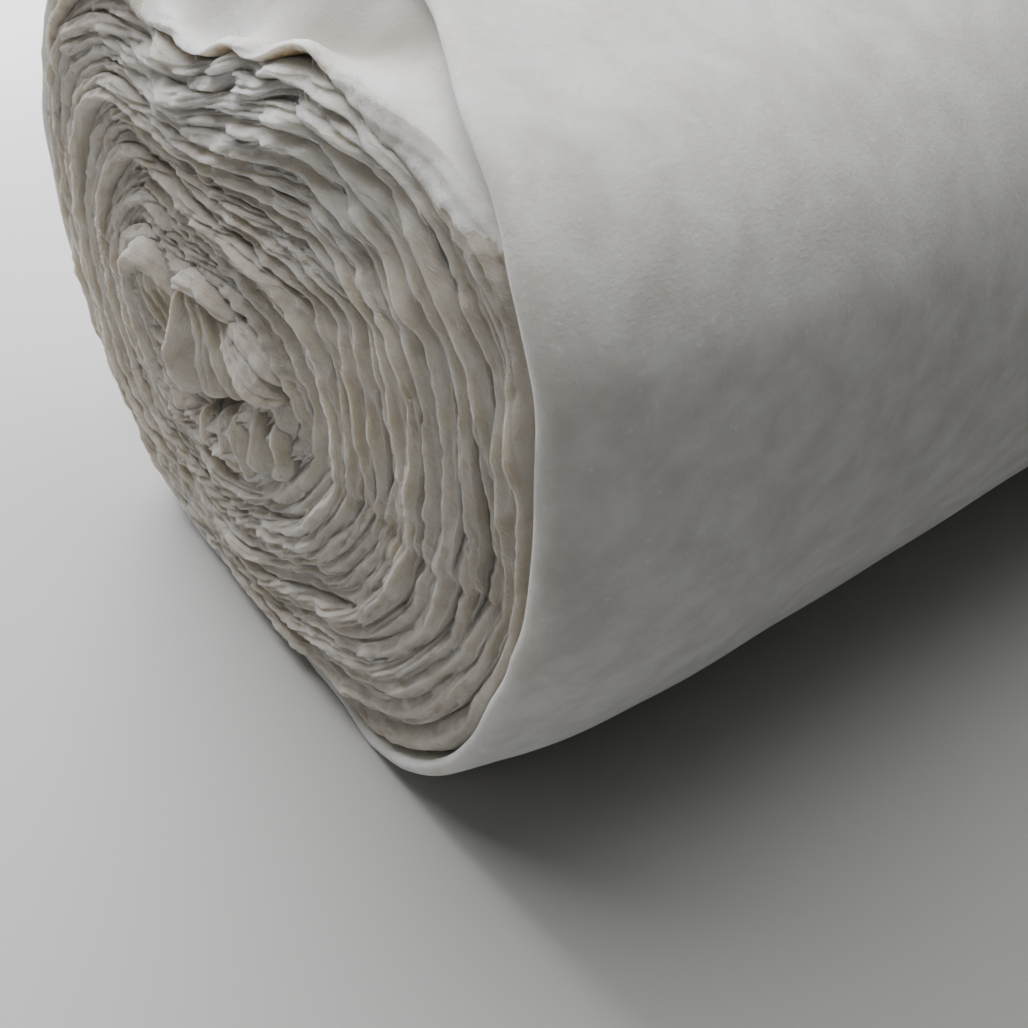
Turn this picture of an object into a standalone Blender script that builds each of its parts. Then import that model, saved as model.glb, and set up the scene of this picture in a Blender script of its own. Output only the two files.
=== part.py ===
"""A roll of polyester wadding, lying on its side.

One long sheet of soft white wadding is wound on itself with no tube inside. The roll sags under
its own weight: it is wider than it is high, its middle has sunk towards the floor and the far
side, and it is flat where it rests. The solid is the wound form, with the step where the sheet's
outer end lies, the soft rims, the slack top edge of the last turn and the crumpled middle.

The roll's length runs along X and its open end, the one with the crumpled turns, faces -X.
The floor is at Z = 0 under it, and the origin is in the middle of its footprint.
Every size is in metres unless a column says millimetres.
"""
import math

import bmesh
import bpy
import numpy as np

ROLL_LENGTH = 1.500
LAYER = 0.011  # thickness of one turn of the wadding as it is wound
AXIS_HEIGHT = 0.238  # from the floor to the point that the outline is measured from
CORE_Y = 0.078  # the middle of the winding, from the same point
CORE_Z = -0.072

# The sheet's outer end lies on the far side, low down.
TAIL_ANGLE = -32.0  # degrees, measured as in the outline below
TAIL_WIDTH = 0.45  # degrees over which the outline steps in by one layer

COLUMNS = 96  # points round the roll
FACE_RINGS = (0.08, 0.17, 0.27, 0.38, 0.49, 0.60, 0.71, 0.81, 0.90)  # shares of the way out
MIDDLE_RINGS = 15  # rings between the two rims
RING_CROWDING = 0.11  # how much closer together those rings are towards the rims

RIM_DEPTH = 0.012  # how far along the roll each rim's rounding reaches
RIM_INSET = 0.007  # how far in from the outline each rim's rounding starts
RIM_STEPS = 3
SHOULDER_INSET = 0.014  # where the last turn but one starts to round over
SHOULDER_DROP = 0.002  # how far it has rounded by where the last turn covers it
GROOVE_DEPTH = 0.003  # how deep the last turn's edge and the one inside it part

COLOR = (0.80, 0.79, 0.76)
ROUGHNESS = 0.95

# The outline round the roll, from the far side (0 degrees) over the top (90) to the near side (180).
# The open end has slumped, and away from it the roll is fuller.
# Columns: angle in degrees, distance from the outline's middle in millimetres at the open end,
# and the same where the roll is full.
OUTLINE = (
    (-168, 266, 266),
    (-155, 263, 264),
    (-140, 268, 268),
    (-125, 270, 270),
    (-113, 264, 264),
    (-100, 251, 251),
    (-90, 248, 248),
    (-78, 253, 253),
    (-61, 277, 275),
    (-52, 293, 288),
    (-40, 305, 296),
    (-25, 302, 292),
    (-12, 287, 280),
    (0, 268, 268),
    (15, 238, 254),
    (32, 214, 238),
    (45, 197, 226),
    (60, 180, 214),
    (75, 171, 207),
    (90, 167, 204),
    (105, 172, 206),
    (120, 185, 213),
    (132, 205, 222),
    (142, 231, 232),
    (150, 257, 241),
    (157, 270, 248),
    (165, 275, 256),
    (175, 269, 264),
)

# How the section changes along the roll.
# Columns: distance from the open end in metres, size against the outline, and how full it is
# (0 as slumped as the open end, 1 full).
SWELL = (
    (0.000, 1.000, 0.00),
    (0.040, 1.038, 0.02),
    (0.110, 1.060, 0.14),
    (0.200, 1.050, 0.42),
    (0.300, 1.026, 0.75),
    (0.420, 0.996, 0.96),
    (0.620, 0.982, 1.00),
    (0.850, 0.990, 1.00),
    (1.100, 1.012, 0.97),
    (1.350, 1.030, 0.86),
    (1.450, 1.022, 0.80),
    (1.500, 1.000, 0.78),
)

# Mounds and hollows of the open end, in millimetres.
# Columns: across (Y), up (Z), half width across, half width up, height outwards.
OPEN_END_RELIEF = (
    (135, -40, 30, 12, 14),
    (75, -70, 20, 30, 14),
    (120, -72, 24, 16, -14),
    (66, -110, 34, 9, -14),
    (0, -95, 44, 20, 5),
    (-50, 118, 66, 10, 12),
    (90, 76, 60, 6, -8),
    (90, 60, 90, 10, 6),
    (-205, 40, 22, 55, -5),
    (-110, -120, 60, 40, 4),
)

# The same for the far end, which is hidden and finished plainly.
FAR_END_RELIEF = (
    (78, -72, 40, 26, 12),
    (50, -40, 30, 12, -12),
    (-90, 60, 90, 60, 5),
    (-40, -150, 90, 30, -4),
)

# The last turn's edge lies back from the open end along the top.
# Columns: angle in degrees, distance along the roll in millimetres.
EDGE_SETBACK = (
    (-90, 0),
    (20, 0),
    (32, 5),
    (45, 15),
    (60, 30),
    (75, 42),
    (90, 50),
    (105, 54),
    (120, 50),
    (131, 42),
    (139, 28),
    (147, 11),
    (156, 1),
    (170, 0),
    (270, 0),
)


def around(table, column, angles):
    """Values of a table's column that closes on itself every 360 degrees, read smoothly.

    Each stretch is a cubic whose slope at a row is that of the line between the row's neighbours.
    """
    rows = np.array(table, dtype=float)
    known = np.concatenate([rows[-2:, 0] - 360.0, rows[:, 0], rows[:3, 0] + 360.0])
    value = np.concatenate([rows[-2:, column], rows[:, column], rows[:3, column]])
    slope = np.gradient(value, known)
    wrapped = (np.asarray(angles, dtype=float) - rows[0, 0]) % 360.0 + rows[0, 0]
    return cubic(known, value, slope, wrapped)


def along(table, column, distance):
    """Values of a table's column read smoothly between its rows."""
    rows = np.array(table, dtype=float)
    slope = np.gradient(rows[:, column], rows[:, 0])
    return cubic(rows[:, 0], rows[:, column], slope, np.asarray(distance, dtype=float))


def cubic(known, value, slope, wanted):
    """The cubic through two neighbouring values with the slopes given there."""
    left = np.clip(np.searchsorted(known, wanted, side="right") - 1, 0, len(known) - 2)
    width = known[left + 1] - known[left]
    t = np.clip((wanted - known[left]) / width, 0.0, 1.0)
    from_left = (1 + 2 * t) * (1 - t) ** 2 * value[left] + t * (1 - t) ** 2 * width * slope[left]
    from_right = t * t * (3 - 2 * t) * value[left + 1] + t * t * (t - 1) * width * slope[left + 1]
    return from_left + from_right


def column_angles():
    """Angles round the roll, from the sheet's outer end back to just below it."""
    return np.linspace(TAIL_ANGLE, TAIL_ANGLE + 360.0 - TAIL_WIDTH, COLUMNS)


def outline(full):
    """The wound outline as (Y, Z) from its middle, half a layer out to half a layer in.

    full is how far it has gone from the slumped shape (0) to the full one (1).
    """
    angles = column_angles()
    turned = (angles - TAIL_ANGLE) / 360.0
    slumped = around(OUTLINE, 1, angles)
    radius = (slumped + (around(OUTLINE, 2, angles) - slumped) * full) / 1000.0
    radius = radius + LAYER * (0.5 - turned)
    bearing = np.radians(angles)
    return np.stack([radius * np.cos(bearing), radius * np.sin(bearing)], axis=1)


def section(place, inset):
    """One ring of (Y, Z) at a distance along the roll: the outline there, flat on the floor, then
    moved in by inset.

    A narrow place still sags onto the floor, so the lower half is never scaled down in height.
    """
    size = float(along(SWELL, 1, place))
    ring = outline(float(along(SWELL, 2, place)))
    upright = np.where(ring[:, 1] > 0.0, size, max(size, 1.0))
    ring[:, 0] = ring[:, 0] * size
    ring[:, 1] = np.maximum(ring[:, 1] * upright, -AXIS_HEIGHT)
    ring = ring * (1.0 - inset / np.linalg.norm(ring, axis=1, keepdims=True))
    ring[:, 1] = ring[:, 1] + AXIS_HEIGHT
    return ring


def relief(table, ring):
    """Height outwards of an end at each point of a ring: the sum of the table's soft mounds."""
    height = np.zeros(len(ring))
    for across, up, half_across, half_up, rise in table:
        y = (ring[:, 0] * 1000.0 - across) / half_across
        z = ((ring[:, 1] - AXIS_HEIGHT) * 1000.0 - up) / half_up
        height += rise / 1000.0 * np.exp(-(y * y + z * z) / 2.0)
    return height


def setback():
    """How far the last turn's edge lies back from the open end, at each column."""
    angles = (column_angles() + 90.0) % 360.0 - 90.0
    return np.maximum(along(EDGE_SETBACK, 1, angles), 0.0) / 1000.0


def end_place(side):
    """Distance along the roll of its open end (side -1) or its far end (side 1)."""
    return 0.0 if side < 0 else ROLL_LENGTH


def face_rings(table, side):
    """Rings of one end, from its middle towards its rim. side is -1 at the open end."""
    edge = section(end_place(side), SHOULDER_INSET)
    core = np.array([CORE_Y, CORE_Z + AXIS_HEIGHT])
    rings = []
    for share in FACE_RINGS:
        ring = core + (edge - core) * share
        x = side * (ROLL_LENGTH / 2.0 + relief(table, ring))
        rings.append(np.column_stack([x, ring]))
    return rings


def rim_rings(side):
    """Rings of one rim: the shoulder of the last turn but one, the groove beside the last turn,
    and the last turn's own edge, a quarter ellipse from its face to the roll's side.
    """
    back = setback() if side < 0 else np.zeros(COLUMNS)
    rings = []
    shoulder = section(end_place(side), SHOULDER_INSET)
    rings.append(np.column_stack([np.full(COLUMNS, side * ROLL_LENGTH / 2.0), shoulder]))
    covered = section(end_place(side), LAYER)
    drop = SHOULDER_DROP + GROOVE_DEPTH + back
    rings.append(np.column_stack([side * (ROLL_LENGTH / 2.0 - drop), covered]))
    for step in range(RIM_STEPS):
        turn = math.pi / 2.0 * step / (RIM_STEPS - 1)
        ring = section(end_place(side), RIM_INSET * (1.0 - math.sin(turn)))
        x = side * (ROLL_LENGTH / 2.0 - RIM_DEPTH * (1.0 - math.cos(turn)) - back)
        rings.append(np.column_stack([x, ring]))
    return rings


def side_rings():
    """Rings along the roll between its rims, closer together towards both rims."""
    back = setback()
    rings = []
    for step in range(1, MIDDLE_RINGS + 1):
        even = step / (MIDDLE_RINGS + 1)
        share = even - RING_CROWDING * math.sin(2.0 * math.pi * even)
        start = RIM_DEPTH + back
        place = start + (ROLL_LENGTH - RIM_DEPTH - start) * share
        ring = section(place.mean(), 0.0)
        rings.append(np.column_stack([place - ROLL_LENGTH / 2.0, ring]))
    return rings


def closed_mesh(rings, name):
    """A closed mesh of quads between neighbouring rings, with a fan of triangles at each end."""
    mesh = bmesh.new()
    loops = [[mesh.verts.new(point) for point in ring] for ring in rings]
    for near, far in zip(loops, loops[1:]):
        for i in range(COLUMNS):
            j = (i + 1) % COLUMNS
            mesh.faces.new((near[i], near[j], far[j], far[i]))
    for loop in (loops[0], loops[-1]):
        pole = mesh.verts.new(sum((v.co for v in loop), loop[0].co * 0.0) / COLUMNS)
        for i in range(COLUMNS):
            mesh.faces.new((loop[i], loop[(i + 1) % COLUMNS], pole))
    bmesh.ops.recalc_face_normals(mesh, faces=mesh.faces)
    bmesh.ops.triangulate(mesh, faces=mesh.faces)
    data = bpy.data.meshes.new(name)
    mesh.to_mesh(data)
    mesh.free()
    return data


def centred(rings):
    """The same rings with the origin in the middle of the roll's footprint."""
    points = np.concatenate(rings)
    low, high = points.min(axis=0), points.max(axis=0)
    shift = np.array([(low[0] + high[0]) / 2.0, (low[1] + high[1]) / 2.0, low[2]])
    return [ring - shift for ring in rings]


def wadding_material():
    """Soft white polyester fibre."""
    material = bpy.data.materials.new("polyester_wadding")
    material.use_nodes = True
    shader = material.node_tree.nodes["Principled BSDF"]
    shader.inputs["Base Color"].default_value = (*COLOR, 1.0)
    shader.inputs["Roughness"].default_value = ROUGHNESS
    shader.inputs["Metallic"].default_value = 0.0
    return material


def wadding_roll():
    """The whole roll, as one closed solid."""
    rings = face_rings(OPEN_END_RELIEF, -1)
    rings += rim_rings(-1)
    rings += side_rings()
    rings += rim_rings(1)[::-1]
    rings += face_rings(FAR_END_RELIEF, 1)[::-1]
    mesh = closed_mesh(centred(rings), "wadding_roll")
    mesh.shade_smooth()
    mesh.materials.append(wadding_material())
    roll = bpy.data.objects.new("wadding_roll", mesh)
    bpy.context.scene.collection.objects.link(roll)
    return roll


for old in list(bpy.data.objects):
    bpy.data.objects.remove(old, do_unlink=True)
wadding_roll()
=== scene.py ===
"""A roll of polyester wadding, lying on its side on a pale floor.

The roll is one long sheet of soft white fibre, wound on itself with no tube. Its open end shows the
edges of about twenty-two turns, sunk into a flattened coil round a crumpled middle. Each edge is a
closed band of wadding with a soft ridge along its front. The last turn is the smooth outside.

Places are worked out in the open end's own axes: X runs into the roll, Y to the far side and Z up,
from the point that the roll's outline is measured from. Lengths are in metres, and in the tables
they are in millimetres where a column says so.
"""
import functools
import math

import bpy
import numpy as np
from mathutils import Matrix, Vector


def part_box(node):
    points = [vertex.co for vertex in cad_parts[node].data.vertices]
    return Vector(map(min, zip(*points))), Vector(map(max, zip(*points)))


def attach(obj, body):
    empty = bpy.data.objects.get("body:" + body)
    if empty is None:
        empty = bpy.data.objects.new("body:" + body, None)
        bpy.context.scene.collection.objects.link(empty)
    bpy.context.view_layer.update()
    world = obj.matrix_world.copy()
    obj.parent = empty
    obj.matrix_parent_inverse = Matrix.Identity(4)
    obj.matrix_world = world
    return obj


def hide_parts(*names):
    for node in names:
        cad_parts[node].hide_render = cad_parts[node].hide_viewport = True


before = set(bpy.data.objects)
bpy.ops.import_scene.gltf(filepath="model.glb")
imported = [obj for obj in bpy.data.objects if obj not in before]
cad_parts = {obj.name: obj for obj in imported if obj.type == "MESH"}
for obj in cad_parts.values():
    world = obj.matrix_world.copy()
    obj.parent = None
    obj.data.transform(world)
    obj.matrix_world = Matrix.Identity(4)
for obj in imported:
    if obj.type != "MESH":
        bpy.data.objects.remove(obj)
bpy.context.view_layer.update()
ROLL_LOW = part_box("wadding_roll")[0]

bl_info = {
    "name": "Roll of Polyester Wadding",
    "version": (1, 0, 0),
    "blender": (4, 5, 0),
    "location": "3D View > Sidebar > Wadding",
    "description": "Builds a slumped roll of polyester wadding from its wound turns",
    "category": "Add Mesh",
}

# The roll as its solid has it.
ROLL_LENGTH = 1.500
LAYER = 0.011  # thickness of one turn
AXIS_HEIGHT = 0.238  # from the floor to the point that the outline is measured from
FACE_STANDS_PROUD = 0.012  # how far the fullest fold of the open end stands out of its plane
OUTLINE_REACH = 0.2821  # from the roll's near side to the outline's middle
ORIGIN = np.array([ROLL_LOW.x + FACE_STANDS_PROUD, ROLL_LOW.y + OUTLINE_REACH, AXIS_HEIGHT])
CORE_Y = 0.078  # the middle of the winding, from the outline's middle
CORE_Z = -0.072
TAIL_ANGLE = -32.0  # degrees: where the sheet's outer end lies, on the far side and low down
TAIL_ROUNDING = 0.008  # how far back the outer end's edge is rounded
WAY_ROUND = 1.75  # once round the roll
RIM_BACK = 0.0055  # how far back along the roll a rim's rounding reaches
RIM_IN = 0.009  # how far in from the outside it reaches
OPEN_BACKING = 0.085  # where along the roll the wall lies that closes it behind the open end
FAR_BACKING = ROLL_LENGTH - 0.070  # and inside the far end

# The outline round the roll, from the far side (0 degrees) over the top (90) to the near side (180).
# Columns: angle in degrees, distance from the outline's middle in millimetres at the open end,
# and the same where the roll is full.
OUTLINE = (
    (-168, 266, 266),
    (-155, 263, 264),
    (-140, 268, 268),
    (-125, 270, 270),
    (-113, 264, 264),
    (-100, 251, 251),
    (-90, 248, 248),
    (-78, 253, 253),
    (-61, 277, 275),
    (-52, 293, 288),
    (-40, 305, 296),
    (-25, 302, 292),
    (-12, 287, 280),
    (0, 268, 268),
    (15, 238, 254),
    (32, 214, 238),
    (45, 197, 226),
    (60, 180, 214),
    (75, 171, 207),
    (90, 167, 204),
    (105, 172, 206),
    (120, 185, 213),
    (132, 205, 222),
    (142, 231, 232),
    (150, 257, 241),
    (157, 270, 248),
    (165, 275, 256),
    (175, 269, 264),
)

# How the section changes along the roll.
# Columns: distance from the open end in metres, size against the outline, and how full it is
# (0 as slumped as the open end, 1 full).
SWELL = (
    (0.000, 1.000, 0.00),
    (0.040, 1.038, 0.02),
    (0.110, 1.060, 0.14),
    (0.200, 1.050, 0.42),
    (0.300, 1.026, 0.75),
    (0.420, 0.996, 0.96),
    (0.620, 0.982, 1.00),
    (0.850, 0.990, 1.00),
    (1.100, 1.012, 0.97),
    (1.350, 1.030, 0.86),
    (1.450, 1.022, 0.80),
    (1.500, 1.000, 0.78),
)

# The last turn's edge lies back from the open end along the top.
# Columns: angle in degrees, distance along the roll in millimetres.
EDGE_SETBACK = (
    (-90, 0),
    (20, 0),
    (32, 5),
    (45, 15),
    (60, 30),
    (75, 42),
    (90, 50),
    (105, 54),
    (120, 50),
    (131, 42),
    (139, 28),
    (147, 11),
    (156, 1),
    (170, 0),
    (270, 0),
)

# How the turns are squeezed together at the open end.
# Columns: direction from the middle of the winding in degrees, distance from it in millimetres to
# the turn that lies 18, 13.5, 8 and 4 turns in, and how far the last turn but one droops there.
SQUEEZE = (
    (0, 90, 117, 154, 177, 0),
    (30, 83, 112, 161, 186, 0),
    (50, 72, 110, 159, 187, 0),
    (70, 62, 109, 143, 173, 7),
    (90, 53, 106, 133, 156, 21),
    (110, 50, 110, 140, 173, 50),
    (120, 55, 119, 152, 196, 36),
    (128, 61, 131, 173, 224, 25),
    (135, 69, 148, 201, 260, 12),
    (141, 78, 164, 222, 288, 11),
    (146, 89, 177, 246, 302, 7),
    (150, 97, 189, 255, 311, 2),
    (156, 109, 194, 277, 322, 3),
    (165, 132, 194, 260, 306, 3),
    (175, 122, 197, 240, 291, 3),
    (180, 109, 187, 235, 290, 0),
    (188, 95, 165, 224, 276, 0),
    (200, 89, 144, 203, 250, 0),
    (215, 77, 123, 170, 211, 0),
    (230, 67, 107, 150, 180, 0),
    (250, 58, 98, 128, 152, 0),
    (270, 57, 93, 118, 146, 0),
    (300, 61, 98, 124, 152, 0),
    (330, 76, 114, 152, 169, 0),
)
LEVELS = (1.0, 4.0, 8.0, 13.5, 18.0, 22.5)  # turns in from the outside, the last at the middle
SQUEEZE_SOFTNESS = 3.0  # degrees over which the corners between the rows are softened

# Soft ridges and hollows that run across the turns' edges at the open end.
# Columns: across (Y), up (Z), half length, half width in millimetres, direction of the length in
# degrees from the far side, and height outwards in millimetres.
FACE_RELIEF = (
    (-227, -36, 30, 9, 90, -9),
    (-251, 35, 14, 4, 90, 4),
    (-165, -61, 70, 4, 0, -3),
    (-150, 42, 62, 6, 163, -3),
    (40, -184, 38, 7, 0, 7),
    (130, -187, 48, 6, 0, -6),
    (-80, 100, 60, 10, 165, 4),
    (-185, 60, 40, 16, 135, 3),
    (120, 20, 70, 20, 165, -5),
    (-95, -20, 14, 30, 0, -4),
    (-120, -120, 60, 30, 45, 3),
    (150, -150, 70, 25, 150, 3),
)

# Where neighbouring turns stand apart at the open end.
# Columns: as above, but the last is the share of a turn by which each of the two is thinner.
FACE_GAPS = (
    (-30, 117, 48, 5, 178, 0.26),
    (-105, 130, 36, 5, 160, 0.26),
    (140, 66, 62, 5, 165, 0.24),
    (60, 104, 26, 4, 0, 0.34),
    (45, 95, 18, 3, 0, 0.34),
    (0, 105, 18, 3, 0, 0.34),
    (-241, 5, 16, 6, 90, 0.42),
    (-236, -45, 22, 5, 92, 0.40),
    (135, -186, 46, 4, 175, 0.36),
    (21, -193, 14, 6, 160, 0.38),
    (-52, -189, 24, 5, 20, 0.36),
    (-107, -216, 45, 5, 18, 0.34),
    (-85, 24, 26, 4, 175, 0.36),
    (-112, -12, 22, 4, 80, 0.34),
    (-172, 20, 28, 4, 85, 0.30),
    (-150, -70, 20, 4, 120, 0.30),
    (120, 40, 60, 3, 165, 0.26),
    (185, -10, 40, 4, 120, 0.26),
)

# Swells and hollows of the drooping turn's outside, in front of the last turn's edge.
# Columns: direction from the middle of the winding and half length in degrees, distance behind the
# open end and half width in millimetres, and height in millimetres.
DROOP_RELIEF = (
    (130, 6, 32, 11, -17),
    (116, 8, 32, 11, -13),
    (139, 3.5, 12, 11, 6),
    (148, 4, 10, 8, 3),
)

# Where the drooping turn's outside is painted grey: painted shade over the hollow behind its lip.
# Columns: as above, but the last is how strongly.
DROOP_PAINTED_SHADE = (
    (127, 5, 28, 12, 1.0),
    (134, 2.5, 42, 10, 0.7),
)

# Places where the drooping turn's hanging edge is pinched up or hangs lower.
# Columns: direction from the middle of the winding, half length in degrees, rise in millimetres.
DROOP_PLEATS = (
    (131.0, 1.8, 10),
    (126.5, 2.4, -3),
    (118.0, 3.0, 2),
    (108.0, 4.0, 5),
    (98.0, 3.0, -4),
)

# Where the turns' edges are torn into tufts, and whitened by a painted highlight that is strongest over
# the top band.
# Columns: as the relief's, but the last is how strongly.
TUFTS_AND_HIGHLIGHT = (
    (-55, 112, 80, 22, 170, 1.0),
    (-150, 90, 60, 16, 150, 0.5),
    (60, 84, 40, 12, 0, 0.5),
    (-40, -120, 70, 36, 25, 0.35),
    (-190, -60, 60, 20, 100, 0.2),
)

# Soft swells of the outside near the open end.
# Columns: angle in degrees, distance from the open end in millimetres, half length in degrees, half
# width in millimetres, how far the swell shifts along the roll in millimetres a degree, and height.
OUTSIDE_SWELLS = (
    (148, 64, 11, 7, -1.4, 2.2),
    (153, 15, 4, 8, 0.0, 1.5),
)

# How far single turns stand out of the end or lie back in it.
# Columns: turns in from the outside, height outwards in millimetres.
TURN_RISE = (
    (1.0, 0),
    (2.0, -4),
    (3.0, 1),
    (4.0, -2),
    (5.0, 2),
    (6.0, -2),
    (8.0, 4),
    (9.0, -4),
    (10.5, 1),
    (12.0, -2),
    (13.5, 4),
    (14.6, -4),
    (16.0, 1),
    (17.0, -2),
    (18.0, 3),
    (19.5, -3),
)

# The crumpled middle: short folds of the sheet's inner end, each with its own number.
# Columns: fold, across (Y), up (Z), half thickness in millimetres, height outwards.
CORE_FOLDS = (
    (1, 130, -38, 4, 4),
    (1, 117, -29, 7, 13),
    (1, 99, -23, 9, 14),
    (1, 80, -26, 8, 11),
    (1, 66, -34, 6, 7),
    (1, 62, -50, 4, 2),
    (2, 124, -34, 4, 5),
    (2, 142, -42, 5, 6),
    (2, 154, -58, 5, 4),
    (2, 150, -75, 5, 2),
    (2, 130, -87, 5, 1),
    (2, 104, -86, 4, 0),
    (3, 132, -47, 3, 1),
    (3, 137, -60, 4, -1),
    (3, 126, -74, 4, -3),
    (3, 104, -79, 3, -3),
    (4, 120, -42, 3, 2),
    (4, 123, -56, 4, -2),
    (4, 111, -68, 4, -5),
    (4, 90, -74, 3, -5),
    (5, 108, -38, 3, 3),
    (5, 107, -50, 4, -2),
    (5, 96, -61, 4, -5),
    (5, 80, -68, 3, -6),
    (6, 53, -19, 2, 5),
    (6, 54, -32, 7, 9),
    (6, 57, -49, 13, 13),
    (6, 66, -67, 19, 15),
    (6, 72, -84, 20, 13),
    (6, 70, -99, 9, 5),
    (7, 48, -20, 2, 3),
    (7, 36, -34, 5, 7),
    (7, 31, -50, 7, 9),
    (7, 32, -67, 8, 8),
    (7, 38, -86, 6, 4),
    (8, 42, -21, 2, 2),
    (8, 24, -31, 5, 5),
    (8, 13, -45, 7, 7),
    (8, 9, -60, 7, 6),
    (8, 12, -76, 5, 2),
    (9, 8, -27, 4, 4),
    (9, -9, -33, 8, 10),
    (9, -27, -38, 10, 13),
    (9, -44, -41, 9, 11),
    (9, -56, -42, 4, 3),
    (10, 60, -22, 3, 7),
    (10, 41, -16, 6, 10),
    (10, 22, -14, 6, 9),
    (10, 3, -17, 5, 7),
    (10, -10, -20, 3, 3),
    (11, -2, -20, 4, 3),
    (11, -20, -22, 5, 5),
    (11, -39, -26, 6, 5),
    (11, -57, -32, 4, 2),
    (12, 34, -92, 4, 2),
    (12, 30, -104, 9, 6),
    (12, 26, -118, 9, 6),
    (12, 24, -130, 5, 2),
    (13, 7, -80, 4, 2),
    (13, 2, -94, 9, 7),
    (13, 0, -110, 10, 7),
    (13, 6, -125, 6, 2),
    (14, -24, -60, 4, 2),
    (14, -23, -76, 8, 7),
    (14, -20, -92, 9, 7),
    (14, -13, -108, 6, 2),
    (15, -47, -56, 4, 2),
    (15, -46, -70, 6, 5),
    (15, -42, -86, 7, 5),
    (15, -34, -100, 5, 2),
    (16, 62, -104, 4, 1),
    (16, 56, -115, 8, 5),
    (16, 48, -127, 6, 2),
    (17, 114, -122, 4, 1),
    (17, 91, -131, 6, 4),
    (17, 64, -138, 6, 5),
    (17, 38, -142, 6, 5),
    (17, 12, -138, 5, 4),
    (17, -14, -126, 4, 2),
    (18, 168, -84, 4, 0),
    (18, 152, -97, 5, 1),
    (18, 128, -108, 5, 1),
    (18, 104, -116, 4, 0),
    (19, 150, -90, 3, -3),
    (19, 130, -99, 4, -3),
    (19, 108, -104, 4, -4),
    (19, 92, -112, 3, -5),
    (20, 104, -34, 4, -4),
    (20, 94, -46, 8, -7),
    (20, 90, -60, 9, -9),
    (20, 94, -76, 6, -9),
    (21, 88, -96, 5, -4),
    (21, 78, -106, 9, -5),
    (21, 64, -112, 9, -6),
    (21, 48, -108, 6, -6),
)

# The bands of edges at each end, the outermost first.
# Columns: name, turns in at its start and its end, and distance between points along it.
OPEN_BANDS = (
    ("slack_turns", 2.0, 7.0, 0.0022),
    ("squeezed_turns", 7.0, 13.0, 0.0022),
    ("tight_turns", 13.0, 19.4, 0.0018),
)
FAR_BANDS = (
    ("far_outer_turns", 1.0, 9.0, 0.0040),
    ("far_inner_turns", 9.0, 21.6, 0.0040),
)

TOUCH_DEPTH = 0.007  # how far behind their fronts neighbouring turns touch
OVERLAP = 0.03  # share of a turn by which neighbouring turns overlap at their fronts
MOST_THINNED = 0.44  # largest share of a turn that a gap takes off either side
BAND_DEPTH = 0.040  # how far in the bands of edges reach
FOLD_DEPTH = 0.045  # how far in the folds of the middle reach
DROOP_DEPTH = 0.070  # how far in the drooping turn reaches
DROOP_BLEND = (0.010, 0.052)  # where its outside starts to rise to the last turn, and gets there
DROOP_MEETS = 0.055  # where along the roll it lies under the last turn along the top
PLEAT_FADE = 0.014  # how far behind the lip its pleats fade
WEB = 0.0038  # thickness of one of the webs that a layer's edge splits into
FIELD_CELL = 0.00125  # size of one cell of a noise field over the end
FIELD_CELLS = 512
EDGE_CELL = 0.0012  # size of one cell of the fine noise on an edge
ROUND_CELLS = 416  # cells of a noise field once round the outside
FIBRES = 9500
FRONT_STEPS = 18  # points across the front of a turn's edge at the open end
FAR_STEPS = 11  # and at the far end
SKIN_STEPS = 12  # how many points of the open end's the skin reaches over at the drooping lip
WALLS = (0.12, 0.45, 1.0)  # shares of a band's depth at which its sides have points
DROOPING_WALLS = tuple(k / 24.0 for k in range(1, 25))


def cubic(known, value, slope, wanted):
    """The cubic through two neighbouring values with the slopes given there."""
    left = np.clip(np.searchsorted(known, wanted, side="right") - 1, 0, len(known) - 2)
    width = known[left + 1] - known[left]
    t = np.clip((wanted - known[left]) / width, 0.0, 1.0)
    from_left = (1 + 2 * t) * (1 - t) ** 2 * value[left] + t * (1 - t) ** 2 * width * slope[left]
    from_right = t * t * (3 - 2 * t) * value[left + 1] + t * t * (t - 1) * width * slope[left + 1]
    return from_left + from_right


def around(table, column, angles):
    """A table's column that closes on itself every 360 degrees, read as smooth cubics."""
    rows = np.array(table, dtype=float)
    known = np.concatenate([rows[-2:, 0] - 360.0, rows[:, 0], rows[:3, 0] + 360.0])
    value = np.concatenate([rows[-2:, column], rows[:, column], rows[:3, column]])
    wrapped = (np.asarray(angles, dtype=float) - rows[0, 0]) % 360.0 + rows[0, 0]
    return cubic(known, value, np.gradient(value, known), wrapped)


def along(table, column, wanted):
    """A table's column read as smooth cubics between its rows."""
    rows = np.array(table, dtype=float)
    slope = np.gradient(rows[:, column], rows[:, 0])
    return cubic(rows[:, 0], rows[:, column], slope, np.asarray(wanted, dtype=float))


def smooth_step(t):
    """0 below 0, 1 above 1, and an even S between them: 3 t squared less 2 t cubed."""
    t = np.clip(t, 0.0, 1.0)
    return t * t * (3.0 - 2.0 * t)


def soft_noise(seed, rows, columns, grain_rows, grain_columns):
    """White noise on a grid whose borders meet, blurred by a bell curve of the given grain in cells
    and scaled to a spread of one.
    """
    white = np.random.default_rng(seed).standard_normal((rows, columns))
    row_waves = np.fft.fftfreq(rows)[:, None] * grain_rows
    column_waves = np.fft.rfftfreq(columns)[None, :] * grain_columns
    blur = np.exp(-2.0 * math.pi ** 2 * (row_waves ** 2 + column_waves ** 2))
    field = np.fft.irfft2(np.fft.rfft2(white) * blur, s=(rows, columns))
    return field / field.std()


def read_field(field, row, column):
    """A field's value between its cells: the straight blend of the four nearest ones."""
    row, column = np.broadcast_arrays(row, column)
    top = np.floor(row).astype(int)
    left = np.floor(column).astype(int)
    down, over = row - top, column - left
    rows, columns = field.shape
    top, left = top % rows, left % columns
    below, right = (top + 1) % rows, (left + 1) % columns
    upper = field[top, left] * (1 - over) + field[top, right] * over
    lower = field[below, left] * (1 - over) + field[below, right] * over
    return upper * (1 - down) + lower * down


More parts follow.
